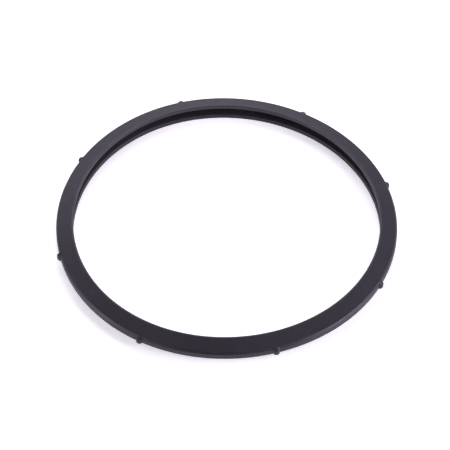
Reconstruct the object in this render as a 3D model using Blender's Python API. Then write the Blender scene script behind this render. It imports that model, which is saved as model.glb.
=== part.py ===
"""Lid sealing ring of a pressure cooker: one rubber moulding, metres, +Z up.

The ring lies flat on the surface z = 0, with its axis on Z. Its section is a C
that opens towards the axis: two lips that spread apart, with a groove between
them for the steam. Eight nubs on the outer wall centre it in the lid.
"""

import math

import bmesh
import bpy
from mathutils import Matrix, Vector

# Ring
rim_diameter = 0.240
section_width = 0.0123
wall_height = 0.0052
shoulder_bevel_run = 0.0010
shoulder_bevel_drop = 0.0011
shoulder_radius = 0.0006
foot_radius = 0.0006

# Lips: they spread away from the outer wall towards their ends
upper_lip_rise = 0.0033
upper_lip_thickness = 0.0034
lower_lip_drop = 0.0052
lower_lip_thickness = 0.0033
lower_lip_setback = 0.0007
lip_end_draft = 0.0004
lip_corner_radius = 0.0004
land_width = 0.0012

# Groove between the lips
groove_depth = 0.0079
groove_root_width = 0.0028
groove_root_radius = 0.0010

# Nubs on the outer wall
nub_count = 8
nub_radius = 0.0024
nub_reach = 0.0021
nub_top_margin = 0.0007
nub_overhang = 0.0005
nub_edge_radius = 0.0012

# Facets
ring_segments = 96
nub_segments = 24
nub_edge_segments = 3
sharp_angle = 30

# Fillets take at most this share of a side
fillet_share = 0.45
merge_distance = 1e-6

rubber_colour = (0.020, 0.019, 0.022, 1.0)
rubber_roughness = 0.5

# Heights and radii that several shapes share
rim_radius = rim_diameter / 2
foot_height = lower_lip_drop
shoulder_height = foot_height + wall_height


def clear_scene():
    for item in list(bpy.data.objects):
        bpy.data.objects.remove(item, do_unlink=True)


def make_rubber():
    material = bpy.data.materials.new("black_rubber")
    material.use_nodes = True
    shader = material.node_tree.nodes["Principled BSDF"]
    shader.inputs["Base Color"].default_value = rubber_colour
    shader.inputs["Roughness"].default_value = rubber_roughness
    shader.inputs["Metallic"].default_value = 0.0
    return material


def section_corners():
    """Corners of the section, each a point (radius, height), a fillet and its steps."""
    top = shoulder_height + upper_lip_rise
    upper_end = rim_radius - section_width
    lower_end = upper_end + lower_lip_setback
    upper_land_end = upper_end + land_width
    lower_land_end = lower_end + land_width

    # The groove's root lies halfway between the two outer slopes
    root = upper_end + groove_depth
    upper_slope = upper_lip_rise / (rim_radius - upper_land_end)
    lower_slope = lower_lip_drop / (rim_radius - lower_land_end)
    top_at_root = shoulder_height + upper_slope * (rim_radius - root)
    underside_at_root = foot_height - lower_slope * (rim_radius - root)
    root_middle = (top_at_root + underside_at_root) / 2
    bevel_end = rim_radius - shoulder_bevel_run
    half_root = groove_root_width / 2

    return [
        ((upper_end, top), lip_corner_radius, 2),
        ((upper_end + lip_end_draft, top - upper_lip_thickness), lip_corner_radius, 2),
        ((root, root_middle + half_root), groove_root_radius, 3),
        ((root, root_middle - half_root), groove_root_radius, 3),
        ((lower_end + lip_end_draft, lower_lip_thickness), lip_corner_radius, 2),
        ((lower_end, 0.0), lip_corner_radius, 2),
        ((lower_land_end, 0.0), 0.0, 0),
        ((rim_radius, foot_height), foot_radius, 2),
        ((rim_radius, shoulder_height - shoulder_bevel_drop), shoulder_radius, 2),
        ((bevel_end, shoulder_height + upper_slope * shoulder_bevel_run), shoulder_radius, 2),
        ((upper_land_end, top), 0.0, 0),
    ]


def rounded_outline(corners):
    """Points of a closed outline whose corners are rounded by arcs."""
    points = []
    for index, (place, radius, steps) in enumerate(corners):
        corner = Vector(place)
        back = Vector(corners[index - 1][0]) - corner
        ahead = Vector(corners[(index + 1) % len(corners)][0]) - corner
        if radius == 0.0:
            points.append(corner)
            continue
        half_angle = back.angle(ahead) / 2
        room = fillet_share * min(back.length, ahead.length)
        run = min(radius / math.tan(half_angle), room)
        fillet = run * math.tan(half_angle)
        start = corner + back.normalized() * run
        bisector = (back.normalized() + ahead.normalized()).normalized()
        centre = corner + bisector * (fillet / math.sin(half_angle))
        spoke = start - centre
        turn = spoke.angle_signed(corner + ahead.normalized() * run - centre)
        for step in range(steps + 1):
            # Vector.angle_signed counts clockwise turns as positive
            angle = -turn * step / steps
            cosine, sine = math.cos(angle), math.sin(angle)
            points.append(centre + Vector((
                spoke.x * cosine - spoke.y * sine,
                spoke.x * sine + spoke.y * cosine,
            )))
    return points


def make_object(name, mesh_builder, material):
    mesh = bpy.data.meshes.new(name)
    mesh_builder.to_mesh(mesh)
    mesh_builder.free()
    mesh.materials.append(material)
    mesh.shade_smooth()
    mesh.set_sharp_from_angle(angle=math.radians(sharp_angle))
    piece = bpy.data.objects.new(name, mesh)
    bpy.context.scene.collection.objects.link(piece)
    return piece


def make_nubs(material):
    """Half-round ribs that stand in the outer wall, all in one union body."""
    foot = foot_height - nub_overhang
    top = shoulder_height - nub_top_margin
    axis_radius = rim_radius + nub_reach - nub_radius
    shape = bmesh.new()
    for number in range(nub_count):
        turn = Matrix.Rotation(math.tau * number / nub_count, 4, "Z")
        place = turn @ Matrix.Translation((axis_radius, 0.0, (foot + top) / 2))
        made = bmesh.ops.create_cone(
            shape, cap_ends=True, segments=nub_segments,
            radius1=nub_radius, radius2=nub_radius, depth=top - foot, matrix=place,
        )
        edges = {edge for vertex in made["verts"] for edge in vertex.link_edges}
        level = [edge for edge in edges
                 if abs(edge.verts[0].co.z - edge.verts[1].co.z) < merge_distance]
        bmesh.ops.bevel(
            shape, geom=level, offset=nub_edge_radius,
            segments=nub_edge_segments, profile=0.5, affect="EDGES",
        )
    nubs = make_object("nub_shapes", shape, material)
    nubs.hide_render = True
    nubs.display_type = "WIRE"
    return nubs


def make_sealing_ring(material):
    shape = bmesh.new()
    outline = [shape.verts.new((point.x, 0.0, point.y))
               for point in rounded_outline(section_corners())]
    loop = [shape.edges.new((outline[i - 1], outline[i])) for i in range(len(outline))]
    bmesh.ops.spin(
        shape, geom=outline + loop, axis=(0.0, 0.0, 1.0), cent=(0.0, 0.0, 0.0),
        angle=math.tau, steps=ring_segments, use_merge=True,
    )
    bmesh.ops.remove_doubles(shape, verts=shape.verts, dist=merge_distance)
    bmesh.ops.recalc_face_normals(shape, faces=shape.faces)
    ring = make_object("sealing_ring", shape, material)

    union = ring.modifiers.new("nubs", "BOOLEAN")
    union.operation = "UNION"
    union.solver = "EXACT"
    union.object = make_nubs(material)
    return ring


clear_scene()
make_sealing_ring(make_rubber())
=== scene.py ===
import math

import bpy
from mathutils import Matrix, Vector


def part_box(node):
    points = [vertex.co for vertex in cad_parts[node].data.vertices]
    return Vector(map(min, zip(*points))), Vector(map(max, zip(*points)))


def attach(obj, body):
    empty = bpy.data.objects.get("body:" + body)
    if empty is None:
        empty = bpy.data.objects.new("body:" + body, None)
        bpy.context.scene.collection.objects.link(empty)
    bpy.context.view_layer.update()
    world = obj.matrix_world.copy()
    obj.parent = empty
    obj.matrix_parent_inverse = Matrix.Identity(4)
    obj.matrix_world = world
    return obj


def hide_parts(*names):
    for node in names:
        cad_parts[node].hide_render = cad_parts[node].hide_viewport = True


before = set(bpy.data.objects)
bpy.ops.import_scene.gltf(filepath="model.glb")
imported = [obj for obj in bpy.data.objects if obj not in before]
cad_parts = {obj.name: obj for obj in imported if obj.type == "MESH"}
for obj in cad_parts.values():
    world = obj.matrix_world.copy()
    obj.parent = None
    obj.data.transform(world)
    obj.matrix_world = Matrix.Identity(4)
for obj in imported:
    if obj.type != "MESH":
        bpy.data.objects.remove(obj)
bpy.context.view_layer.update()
ringLow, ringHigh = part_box("sealing_ring")
print("frame loaded")

mm = 0.001


# node helpers, for shader trees and geometry trees alike

def addNode(tree, kind, **settings):
    node = tree.nodes.new(kind)
    for name, value in settings.items():
        setattr(node, name, value)
    return node


def feed(tree, socket, value):
    # a socket gets linked, anything else becomes the input's own value
    if isinstance(value, bpy.types.NodeSocket):
        tree.links.new(value, socket)
    else:
        socket.default_value = value


def calc(tree, operation, *values):
    node = addNode(tree, "ShaderNodeMath", operation=operation)
    for index, value in enumerate(values):
        feed(tree, node.inputs[index], value)
    return node.outputs[0]


def weightedSum(tree, *pairs):
    total = 0.0
    for value, weight in pairs:
        total = calc(tree, "ADD", total, calc(tree, "MULTIPLY", value, weight))
    return total


def splitPoint(tree, vector):
    node = addNode(tree, "ShaderNodeSeparateXYZ")
    feed(tree, node.inputs[0], vector)
    return node.outputs[0], node.outputs[1], node.outputs[2]


def makePoint(tree, x, y, z):
    node = addNode(tree, "ShaderNodeCombineXYZ")
    for socket, value in zip(node.inputs, (x, y, z)):
        feed(tree, socket, value)
    return node.outputs[0]


def axisDistance(tree, x, y):
    return calc(tree, "SQRT", weightedSum(tree, (x, x), (y, y)))


def remap(tree, value, fromLow, fromHigh, toLow, toHigh):
    node = addNode(tree, "ShaderNodeMapRange")
    node.interpolation_type = "SMOOTHSTEP"
    for socket, item in zip(node.inputs, (value, fromLow, fromHigh, toLow, toHigh)):
        feed(tree, socket, item)
    return node.outputs[0]


def newTree(name, kind, inputs, outputs):
    tree = bpy.data.node_groups.new(name, kind)
    for label, socketType, value in inputs:
        socket = tree.interface.new_socket(name=label, in_out="INPUT", socket_type=socketType)
        if value is not None:
            socket.default_value = value
    for label, socketType in outputs:
        tree.interface.new_socket(name=label, in_out="OUTPUT", socket_type=socketType)
    return tree, addNode(tree, "NodeGroupInput"), addNode(tree, "NodeGroupOutput")


def useGroup(tree, group, **values):
    node = addNode(tree, "ShaderNodeGroup", node_tree=group)
    for label, value in values.items():
        feed(tree, node.inputs[label], value)
    return node


# the ring's section: two lips with the steam groove between them

sectionSettings = {
    "width": 12.3 * mm,
    "wallHeight": 5.2 * mm,
    "shoulderRun": 1.0 * mm,
    "shoulderDrop": 1.1 * mm,
    "shoulderRadius": 0.7 * mm,
    "footRadius": 0.6 * mm,
    "upperLipThickness": 3.4 * mm,
    "lowerLipDrop": 5.2 * mm,
    "lowerLipThickness": 3.3 * mm,
    "lowerLipSetback": 0.7 * mm,
    "lipEndDraft": 0.4 * mm,
    "lipCornerRadius": 0.45 * mm,
    "landWidth": 1.2 * mm,
    "landEdgeRadius": 1.5 * mm,
    "grooveDepth": 7.9 * mm,
    "grooveRootWidth": 2.8 * mm,
    "grooveRootRadius": 1.0 * mm,
}

nubReach = 2.1 * mm
rimRadius = (ringHigh[0] - ringLow[0]) / 2 - nubReach
topHeight = ringHigh[2]
footHeight = sectionSettings["lowerLipDrop"]
shoulderHeight = footHeight + sectionSettings["wallHeight"]


def sectionCorners(size):
    # place, fillet radius, fillet steps, rows on the side that follows, edge rub
    upperEnd = rimRadius - size["width"]
    lowerEnd = upperEnd + size["lowerLipSetback"]
    upperLand = upperEnd + size["landWidth"]
    lowerLand = lowerEnd + size["landWidth"]
    root = upperEnd + size["grooveDepth"]
    upperSlope = (topHeight - shoulderHeight) / (rimRadius - upperLand)
    lowerSlope = footHeight / (rimRadius - lowerLand)
    rootMiddle = (shoulderHeight + footHeight + (upperSlope - lowerSlope) * (rimRadius - root)) / 2
    halfRoot = size["grooveRootWidth"] / 2
    bevelEnd = rimRadius - size["shoulderRun"]
    lip, land = size["lipCornerRadius"], size["landEdgeRadius"]
    rootRadius, shoulder = size["grooveRootRadius"], size["shoulderRadius"]
    bevelFoot = shoulderHeight - size["shoulderDrop"]
    bevelHead = shoulderHeight + upperSlope * size["shoulderRun"]
    return [
        ((upperEnd, topHeight), lip, 4, 3, 1.0),
        ((upperEnd + size["lipEndDraft"], topHeight - size["upperLipThickness"]), lip, 3, 5, 0.6),
        ((root, rootMiddle + halfRoot), rootRadius, 4, 1, 0.0),
        ((root, rootMiddle - halfRoot), rootRadius, 4, 5, 0.0),
        ((lowerEnd + size["lipEndDraft"], size["lowerLipThickness"]), lip, 3, 3, 0.6),
        ((lowerEnd, 0.0), lip, 3, 1, 1.0),
        ((lowerLand, 0.0), land, 1, 11, 0.2),
        ((rimRadius, footHeight), size["footRadius"], 4, 13, 0.7),
        ((rimRadius, bevelFoot), shoulder, 5, 1, 0.5),
        ((bevelEnd, bevelHead), shoulder, 5, 7, 0.9),
        ((upperLand, topHeight), land, 2, 1, 0.3),
    ]


def filletArc(before, corner, after, radius, steps):
    # points of the arc that rounds a corner, from the side before it to the side after it
    back, ahead = (before - corner).normalized(), (after - corner).normalized()
    half = back.angle(ahead) / 2
    run = radius / math.tan(half)
    centre = corner + (back + ahead).normalized() * (radius / math.sin(half))
    start = corner + back * run - centre
    end = corner + ahead * run - centre
    turn = math.atan2(start.x * end.y - start.y * end.x, start.dot(end))
    points = []
    for step in range(steps + 1):
        cosine, sine = math.cos(turn * step / steps), math.sin(turn * step / steps)
        spoke = Vector((start.x * cosine - start.y * sine, start.x * sine + start.y * cosine))
        points.append(centre + spoke)
    return points


def roundedSection(corners):
    # (radius, height, edge rub) round the closed section, rows closing up towards each fillet
    places = [Vector(corner[0]) for corner in corners]
    arcs = []
    for index, corner in enumerate(corners):
        after = places[(index + 1) % len(places)]
        arcs.append(filletArc(places[index - 1], places[index], after, corner[1], corner[2]))
    points = []
    for index, arc in enumerate(arcs):
        rows, rub = corners[index][3:]
        for step, place in enumerate(arc):
            points.append((place.x, place.y, rub * math.sin(math.pi * step / (len(arc) - 1))))
        following = arcs[(index + 1) % len(arcs)][0]
        for row in range(1, rows):
            place = arc[-1].lerp(following, (1 - math.cos(math.pi * row / rows)) / 2)
            points.append((place.x, place.y, 0.0))
    return points


def makeSectionCurve(points):
    # X runs outwards from the rim and Y runs down; a point's radius carries its edge rub
    curve = bpy.data.curves.new("ringSection", "CURVE")
    curve.dimensions = "2D"
    spline = curve.splines.new("POLY")
    spline.points.add(len(points) - 1)
    spline.use_cyclic_u = True
    for place, (radius, height, rub) in zip(spline.points, reversed(points)):
        place.co = (radius - rimRadius, -height, 0.0, 1.0)
        place.radius = rub
    section = bpy.data.objects.new("ringSection", curve)
    bpy.context.scene.collection.objects.link(section)
    section.hide_render = True
    return section


# the ring: its section swept round the rim's circle, with the nubs drawn out of the wall

ringSettings = {
    "Rim Radius": rimRadius,
    "Columns": 1080,
    "Crowding": 0.8,
    "Nub Count": 8,
    "Nub Reach": nubReach,
    "Nub Half Width": 2.45 * mm,
    "Nub Middle": 7.35 * mm,
    "Nub Half Height": 2.7 * mm,
    "Nub Fillet": 0.3 * mm,
    "Wall Depth": 2.0 * mm,  # how far in the nubs' pull reaches
    "Slack Two": -0.13 * mm,
    "Slack Three Along": 0.12 * mm,
    "Slack Three Across": -0.55 * mm,
}


def makeRingTree():
    number, whole = "NodeSocketFloat", "NodeSocketInt"
    tree, given, result = newTree("ringTree", "GeometryNodeTree", [
        ("Section", "NodeSocketObject", None),
        ("Rim Radius", number, 0.12),
        ("Columns", whole, 96),
        ("Crowding", number, 0.5),
        ("Nub Count", whole, 8),
        ("Nub Reach", number, 0.002),
        ("Nub Half Width", number, 0.002),
        ("Nub Middle", number, 0.007),
        ("Nub Half Height", number, 0.002),
        ("Nub Fillet", number, 0.0005),
        ("Wall Depth", number, 0.002),
        ("Slack Two", number, 0.0),
        ("Slack Three Along", number, 0.0),
        ("Slack Three Across", number, 0.0),
        ("Rubber", "NodeSocketMaterial", None),
    ], [("Geometry", "NodeSocketGeometry")])
    sizes = given.outputs

    # rim circle, its points closing up towards the nubs
    circle = addNode(tree, "GeometryNodeCurvePrimitiveCircle")
    feed(tree, circle.inputs["Resolution"], sizes["Columns"])
    feed(tree, circle.inputs["Radius"], sizes["Rim Radius"])
    index = addNode(tree, "GeometryNodeInputIndex").outputs[0]
    even = calc(tree, "DIVIDE", calc(tree, "MULTIPLY", index, math.tau), sizes["Columns"])
    wave = calc(tree, "SINE", calc(tree, "MULTIPLY", even, sizes["Nub Count"]))
    crowded = calc(tree, "MULTIPLY", wave, sizes["Crowding"])
    shift = calc(tree, "DIVIDE", crowded, sizes["Nub Count"])
    turn = calc(tree, "SUBTRACT", even, shift)
    placed = addNode(tree, "GeometryNodeSetPosition")
    feed(tree, placed.inputs["Geometry"], circle.outputs["Curve"])
    feed(tree, placed.inputs["Position"], makePoint(
        tree,
        calc(tree, "MULTIPLY", calc(tree, "COSINE", turn), sizes["Rim Radius"]),
        calc(tree, "MULTIPLY", calc(tree, "SINE", turn), sizes["Rim Radius"]),
        0.0,
    ))
    upright = addNode(tree, "GeometryNodeSetCurveNormal", mode="Z_UP")
    feed(tree, upright.inputs["Curve"], placed.outputs["Geometry"])

    # section, whose radius is kept as the edge rub
    picked = addNode(tree, "GeometryNodeObjectInfo")
    feed(tree, picked.inputs["Object"], sizes["Section"])
    kept = addNode(tree, "GeometryNodeCaptureAttribute", domain="POINT")
    kept.capture_items.new("FLOAT", "Rub")
    feed(tree, kept.inputs["Geometry"], picked.outputs["Geometry"])
    feed(tree, kept.inputs["Rub"], addNode(tree, "GeometryNodeInputRadius").outputs[0])
    plain = addNode(tree, "GeometryNodeSetCurveRadius")
    feed(tree, plain.inputs["Curve"], kept.outputs["Geometry"])
    feed(tree, plain.inputs["Radius"], 1.0)
    swept = addNode(tree, "GeometryNodeCurveToMesh")
    feed(tree, swept.inputs["Curve"], upright.outputs["Curve"])
    feed(tree, swept.inputs["Profile Curve"], plain.outputs["Curve"])

    # nubs: each is half round across with blunt ends, and the wall stays as it is around it
    acrossPower, alongPower, outsideFall = 2.0, 4.0, 2.0
    place = addNode(tree, "GeometryNodeInputPosition").outputs[0]
    x, y, height = splitPoint(tree, place)
    radius = axisDistance(tree, x, y)
    angle = calc(tree, "ARCTAN2", y, x)
    pitch = calc(tree, "DIVIDE", math.tau, sizes["Nub Count"])
    steps = calc(tree, "DIVIDE", angle, pitch)
    past = calc(tree, "MULTIPLY", calc(tree, "SUBTRACT", steps, calc(tree, "ROUND", steps)), pitch)
    arc = calc(tree, "MULTIPLY", past, sizes["Rim Radius"])
    across = calc(tree, "DIVIDE", arc, sizes["Nub Half Width"])
    lift = calc(tree, "SUBTRACT", height, sizes["Nub Middle"])
    along = calc(tree, "DIVIDE", lift, sizes["Nub Half Height"])
    fill = calc(tree, "ADD", calc(tree, "POWER", calc(tree, "ABSOLUTE", across), acrossPower),
                calc(tree, "POWER", calc(tree, "ABSOLUTE", along), alongPower))
    left = calc(tree, "SUBTRACT", 1.0, fill)
    inside = calc(tree, "SQRT", calc(tree, "MAXIMUM", left, 0.0))
    outside = calc(tree, "MULTIPLY", calc(tree, "MINIMUM", left, 0.0), outsideFall)
    bulge = calc(tree, "MULTIPLY", calc(tree, "ADD", inside, outside), sizes["Nub Reach"])
    face = calc(tree, "ADD", sizes["Rim Radius"], bulge)
    drawn = calc(tree, "SMOOTH_MAX", radius, face, sizes["Nub Fillet"])
    furthest = calc(tree, "ADD", sizes["Rim Radius"], sizes["Nub Reach"])
    ratio = calc(tree, "DIVIDE", calc(tree, "MINIMUM", drawn, furthest), radius)
    nubbed = addNode(tree, "GeometryNodeSetPosition")
    feed(tree, nubbed.inputs["Geometry"], swept.outputs["Mesh"])
    feed(tree, nubbed.inputs["Selection"], calc(
        tree, "GREATER_THAN", radius,
        calc(tree, "SUBTRACT", sizes["Rim Radius"], sizes["Wall Depth"])))
    feed(tree, nubbed.inputs["Position"], makePoint(
        tree, calc(tree, "MULTIPLY", x, ratio), calc(tree, "MULTIPLY", y, ratio), height))

    # slack: the soft ring lies slightly out of round
    # its waves are nil at 0, 90, 180 and 270 degrees, which keeps the box as it is
    doubled, tripled = calc(tree, "MULTIPLY", angle, 2.0), calc(tree, "MULTIPLY", angle, 3.0)
    cosine, sine = calc(tree, "COSINE", angle), calc(tree, "SINE", angle)
    alongWave = calc(tree, "SUBTRACT", calc(tree, "COSINE", tripled), cosine)
    acrossWave = calc(tree, "ADD", calc(tree, "SINE", tripled), sine)
    slack = weightedSum(
        tree,
        (calc(tree, "SINE", doubled), sizes["Slack Two"]),
        (alongWave, sizes["Slack Three Along"]),
        (acrossWave, sizes["Slack Three Across"]),
    )
    eased = addNode(tree, "GeometryNodeSetPosition")
    feed(tree, eased.inputs["Geometry"], nubbed.outputs["Geometry"])
    feed(tree, eased.inputs["Offset"], makePoint(
        tree, calc(tree, "MULTIPLY", cosine, slack), calc(tree, "MULTIPLY", sine, slack), 0.0))

    # edge rub as an attribute, smooth faces, real mesh, material
    stored = addNode(tree, "GeometryNodeStoreNamedAttribute")
    feed(tree, stored.inputs["Geometry"], eased.outputs["Geometry"])
    feed(tree, stored.inputs["Name"], "edgeRub")
    feed(tree, stored.inputs["Value"], kept.outputs["Rub"])
    smooth = addNode(tree, "GeometryNodeSetShadeSmooth")
    feed(tree, smooth.inputs["Geometry"], stored.outputs["Geometry"])
    real = addNode(tree, "GeometryNodeRealizeInstances")
    feed(tree, real.inputs["Geometry"], smooth.outputs["Geometry"])
    dressed = addNode(tree, "GeometryNodeSetMaterial")
    feed(tree, dressed.inputs["Geometry"], real.outputs["Geometry"])
    feed(tree, dressed.inputs["Material"], sizes["Rubber"])
    feed(tree, result.inputs["Geometry"], dressed.outputs["Geometry"])
    return tree


def makeRing(rubber):
    section = makeSectionCurve(roundedSection(sectionCorners(sectionSettings)))
    blank = bpy.data.objects.new("ringBlank", bpy.data.meshes.new("ringBlank"))
    bpy.context.scene.collection.objects.link(blank)
    tree = makeRingTree()
    sweep = blank.modifiers.new("sweep", "NODES")
    sweep.node_group = tree
    values = dict(ringSettings, Section=section, Rubber=rubber)
    for item in tree.interface.items_tree:
        if item.in_out == "INPUT":
            sweep[item.identifier] = values[item.name]
    evaluated = blank.evaluated_get(bpy.context.evaluated_depsgraph_get())
    mesh = bpy.data.meshes.new_from_object(evaluated)
    mesh.name = "rubberRing"
    for spare in (blank, section):
        bpy.data.objects.remove(spare)
    ring = bpy.data.objects.new("rubberRing", mesh)
    bpy.context.scene.collection.objects.link(ring)
    return ring


# black moulded rubber

rubberSettings = {
    "colour": (0.012, 0.0107, 0.0135),
    "bloomColour": (0.070, 0.065, 0.074),
    "roughness": 0.50,
    "specularLevel": 0.36,
    "grainSize": 0.3 * mm,
    "grainDepth": 0.012 * mm,
    "turningPitch": 0.5 * mm,
    "turningDepth": 0.008 * mm,
    "bloom": {"Size": 14 * mm, "Low": 0.52, "High": 0.78},
    "specks": {"Size": 0.9 * mm, "Low": 0.56, "High": 0.72},
    "sheen": {"Size": 30 * mm, "Low": 0.3, "High": 0.7},
    "bloomWeight": 0.12,
    "speckWeight": 0.14,
    "rubWeight": 0.10,
    "sheenSpread": 0.06,  # how much the roughness wanders
    "rubPolish": 0.06,
}


def makeGrainGroup():
    # fine pitted texture that the mould leaves on the rubber
    noiseShare, pitShare, pitScale, pitRadius = 0.6, 0.4, 0.6, 0.6
    tree, given, result = newTree("mouldGrain", "ShaderNodeTree", [
        ("Place", "NodeSocketVector", None),
        ("Size", "NodeSocketFloat", 0.0002),
    ], [("Height", "NodeSocketFloat")])
    coarse = addNode(tree, "ShaderNodeTexNoise")
    feed(tree, coarse.inputs["Vector"], given.outputs["Place"])
    feed(tree, coarse.inputs["Scale"], calc(tree, "DIVIDE", 1.0, given.outputs["Size"]))
    coarse.inputs["Detail"].default_value = 2.0
    pits = addNode(tree, "ShaderNodeTexVoronoi", feature="F1")
    feed(tree, pits.inputs["Vector"], given.outputs["Place"])
    feed(tree, pits.inputs["Scale"], calc(tree, "DIVIDE", pitScale, given.outputs["Size"]))
    rounded = remap(tree, pits.outputs["Distance"], 0.0, pitRadius, 0.0, 1.0)
    feed(tree, result.inputs["Height"], weightedSum(
        tree, (coarse.outputs["Fac"], noiseShare), (rounded, pitShare)))
    return tree


def makeTurningGroup():
    # faint rings about the axis, copied from the turned faces of the mould
    tree, given, result = newTree("turningMarks", "ShaderNodeTree", [
        ("Place", "NodeSocketVector", None),
        ("Pitch", "NodeSocketFloat", 0.0003),
    ], [("Height", "NodeSocketFloat")])
    x, y, z = splitPoint(tree, given.outputs["Place"])
    across = calc(tree, "DIVIDE", calc(tree, "ADD", axisDistance(tree, x, y), z),
                  given.outputs["Pitch"])
    uneven = addNode(tree, "ShaderNodeTexNoise", noise_dimensions="1D")
    feed(tree, uneven.inputs["W"], across)
    uneven.inputs["Scale"].default_value = 1.0
    uneven.inputs["Detail"].default_value = 3.0
    feed(tree, result.inputs["Height"], uneven.outputs["Fac"])
    return tree


def makePatchGroup():
    # broad soft patches, for bloom and for uneven sheen
    tree, given, result = newTree("softPatches", "ShaderNodeTree", [
        ("Place", "NodeSocketVector", None),
        ("Size", "NodeSocketFloat", 0.02),
        ("Low", "NodeSocketFloat", 0.4),
        ("High", "NodeSocketFloat", 0.7),
    ], [("Mask", "NodeSocketFloat")])
    cloud = addNode(tree, "ShaderNodeTexNoise")
    feed(tree, cloud.inputs["Vector"], given.outputs["Place"])
    feed(tree, cloud.inputs["Scale"], calc(tree, "DIVIDE", 1.0, given.outputs["Size"]))
    cloud.inputs["Detail"].default_value = 4.0
    cloud.inputs["Roughness"].default_value = 0.6
    feed(tree, result.inputs["Mask"], remap(
        tree, cloud.outputs["Fac"], given.outputs["Low"], given.outputs["High"], 0.0, 1.0))
    return tree


def makeRubber():
    material = bpy.data.materials.new("blackRubber")
    material.use_nodes = True
    tree = material.node_tree
    shader = tree.nodes["Principled BSDF"]
    shader.inputs["Metallic"].default_value = 0.0
    shader.inputs["IOR"].default_value = 1.5
    shader.inputs["Specular IOR Level"].default_value = rubberSettings["specularLevel"]
    place = addNode(tree, "ShaderNodeTexCoord").outputs["Object"]
    patches = makePatchGroup()
    bloom, specks, sheen = [
        useGroup(tree, patches, Place=place, **rubberSettings[mask]).outputs["Mask"]
        for mask in ("bloom", "specks", "sheen")
    ]
    rub = addNode(tree, "ShaderNodeAttribute", attribute_name="edgeRub").outputs["Fac"]

    # colour: black, greyed by bloom, specks of dust and rubbed edges
    grey = weightedSum(
        tree,
        (bloom, rubberSettings["bloomWeight"]),
        (specks, rubberSettings["speckWeight"]),
        (rub, rubberSettings["rubWeight"]),
    )
    mix = addNode(tree, "ShaderNodeMix", data_type="RGBA")
    feed(tree, mix.inputs["Factor"], grey)
    colourA, colourB, mixedColour = mix.inputs[6], mix.inputs[7], mix.outputs[2]
    colourA.default_value = (*rubberSettings["colour"], 1.0)
    colourB.default_value = (*rubberSettings["bloomColour"], 1.0)
    feed(tree, shader.inputs["Base Color"], mixedColour)

    # roughness: satin, slightly uneven, smoother where edges are rubbed
    spread = rubberSettings["sheenSpread"]
    wander = weightedSum(tree, (sheen, spread), (rub, -rubberSettings["rubPolish"]))
    feed(tree, shader.inputs["Roughness"], calc(
        tree, "ADD", rubberSettings["roughness"] - spread / 2, wander))

    # relief: mould grain and turning marks
    grain = useGroup(tree, makeGrainGroup(), Place=place, Size=rubberSettings["grainSize"])
    turning = useGroup(tree, makeTurningGroup(), Place=place, Pitch=rubberSettings["turningPitch"])
    relief = weightedSum(
        tree,
        (grain.outputs["Height"], rubberSettings["grainDepth"]),
        (turning.outputs["Height"], rubberSettings["turningDepth"]),
    )
    bump = addNode(tree, "ShaderNodeBump")
    bump.inputs["Distance"].default_value = 1.0
    bump.inputs["Strength"].default_value = 1.0
    feed(tree, bump.inputs["Height"], relief)
    feed(tree, shader.inputs["Normal"], bump.outputs["Normal"])
    return material


rubber = makeRubber()
print("rubber made")
ring = makeRing(rubber)
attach(ring, "root")
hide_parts("sealing_ring")
print("ring made:", len(ring.data.vertices), "vertices")


# pale floor, whose own glow stands for a lit table top

floorSettings = {
    "half": 1.2,
    "drop": 0.02 * mm,
    "colour": (0.9, 0.9, 0.9),
    "roughness": 0.9,
    "glowColour": (1.0, 1.0, 1.0),
    "glow": 0.48,
}


def makeFloor():
    half, drop = floorSettings["half"], floorSettings["drop"]
    mesh = bpy.data.meshes.new("paleFloor")
    corners = [(-half, -half), (half, -half), (half, half), (-half, half)]
    mesh.from_pydata([(x, y, -drop) for x, y in corners], [], [(0, 1, 2, 3)])
    material = bpy.data.materials.new("paleFloor")
    material.use_nodes = True
    shader = material.node_tree.nodes["Principled BSDF"]
    shader.inputs["Base Color"].default_value = (*floorSettings["colour"], 1.0)
    shader.inputs["Roughness"].default_value = floorSettings["roughness"]
    shader.inputs["Specular IOR Level"].default_value = 0.0
    shader.inputs["Emission Color"].default_value = (*floorSettings["glowColour"], 1.0)
    shader.inputs["Emission Strength"].default_value = floorSettings["glow"]
    mesh.materials.append(material)
    floor = bpy.data.objects.new("paleFloor", mesh)
    bpy.context.scene.collection.objects.link(floor)
    return floor


makeFloor()


# camera, then soft lights placed round it

cameraSettings = {
    "azimuth": -16.55,
    "elevation": 48.85,
    "roll": 0.3,
    "distance": 1.32,
    "lens": 149.7,
    "clipEnd": 50.0,
    "aimHeight": 9.45 * mm,
    "aimRight": -0.66 * mm,
    "aimUp": -4.4 * mm,
}


def direction(azimuth, elevation):
    turn, lift = math.radians(azimuth), math.radians(elevation)
    flat = math.cos(lift)
    return Vector((math.sin(turn) * flat, -math.cos(turn) * flat, math.sin(lift)))


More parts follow.
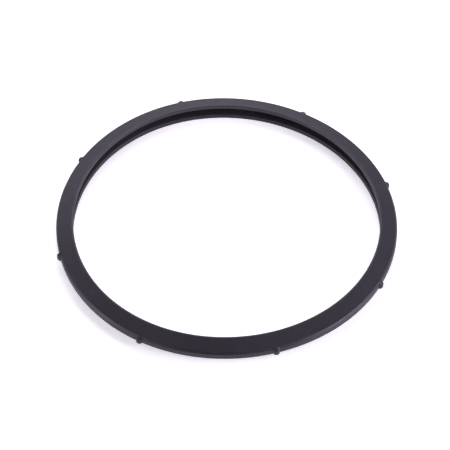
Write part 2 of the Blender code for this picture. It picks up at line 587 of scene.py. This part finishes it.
def makeCamera(setup):
    data = bpy.data.cameras.new("camera")
    data.lens = setup["lens"]
    data.clip_end = setup["clipEnd"]
    camera = bpy.data.objects.new("camera", data)
    bpy.context.scene.collection.objects.link(camera)
    middle = Vector((0.0, 0.0, setup["aimHeight"]))
    back = direction(setup["azimuth"], setup["elevation"])
    right = Vector((0.0, 0.0, 1.0)).cross(back).normalized()
    up = back.cross(right)
    camera.location = middle + back * setup["distance"]
    target = middle + right * setup["aimRight"] + up * setup["aimUp"]
    facing = (camera.location - target).to_track_quat("Z", "Y").to_matrix()
    roll = Matrix.Rotation(math.radians(setup["roll"]), 3, facing.col[2])
    camera.rotation_euler = (roll @ facing).to_euler()
    bpy.context.scene.camera = camera


makeCamera(cameraSettings)

lightSettings = {
    "tint": (1.09, 1.0, 1.22),
    "world": (1.0, 1.0, 1.0),
    "distance": 1.5,
    "size": 0.7,
    "panels": {
        # name: azimuth from the camera, elevation, power
        "backLow": (180, 35, 8.0),
        "backHigh": (180, 60, 5.2),
        "backLeft": (210, 35, 4.2),
        "left": (300, 35, 2.4),
        "farLeft": (270, 35, 1.8),
        "leftLow": (293, 13, 9.5),
        "rightFront": (60, 35, 5.8),
        "right": (90, 35, 5.0),
        "rightLow": (67, 13, 14.0),
        "rightBack": (120, 12, 2.3),
        "farBack": (150, 35, 1.5),
    },
}


def makePanel(name, azimuth, elevation, power, setup):
    data = bpy.data.lights.new(name, "AREA")
    data.shape = "DISK"
    data.size = setup["size"]
    data.energy = power
    data.color = setup["tint"]
    panel = bpy.data.objects.new(name, data)
    bpy.context.scene.collection.objects.link(panel)
    towards = direction(cameraSettings["azimuth"] + azimuth, elevation)
    panel.location = towards * setup["distance"]
    panel.rotation_euler = towards.to_track_quat("Z", "Y").to_euler()


def makeWorld(setup):
    # pale to the camera only, so the panels and the floor light the ring alone
    world = bpy.data.worlds.new("softStudio")
    world.use_nodes = True
    tree = world.node_tree
    background = tree.nodes["Background"]
    background.inputs["Color"].default_value = (*setup["world"], 1.0)
    seen = addNode(tree, "ShaderNodeLightPath").outputs["Is Camera Ray"]
    feed(tree, background.inputs["Strength"], seen)
    bpy.context.scene.world = world


def makeLights(setup):
    makeWorld(setup)
    for name, place in setup["panels"].items():
        makePanel(name, *place, setup)


makeLights(lightSettings)
bpy.context.scene.view_settings.view_transform = "Standard"
print("stage, camera and lights made")
